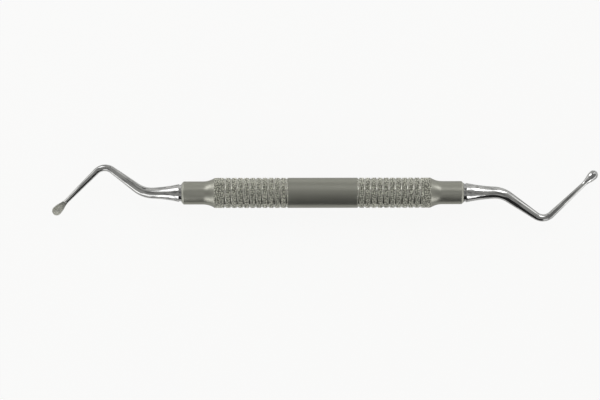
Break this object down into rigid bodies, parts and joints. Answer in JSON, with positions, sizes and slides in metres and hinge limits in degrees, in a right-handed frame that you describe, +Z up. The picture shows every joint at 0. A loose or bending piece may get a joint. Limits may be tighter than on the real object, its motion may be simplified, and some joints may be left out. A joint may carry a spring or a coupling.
{
  "type": "surgical curette",
  "caption": "Double-ended surgical curette: a hollow knurled steel handle with a twice-bent polished shank and a small scooping spoon at each end.",
  "frame": {"origin": "on the surface it lies on, under the middle of the handle", "axes": "+X along the handle towards the end whose spoon faces down, +Y towards the side of the other end's raised bend, +Z up from the surface"},
  "size_m": [0.1706, 0.018, 0.0095],
  "materials": {
    "satin_steel": "satin",
    "polished_steel": "polished"
  },
  "bodies": {
    "root": {"handle": "satin_steel", "left_working_end": "polished_steel", "right_working_end": "polished_steel"}
  },
  "joints": []
}
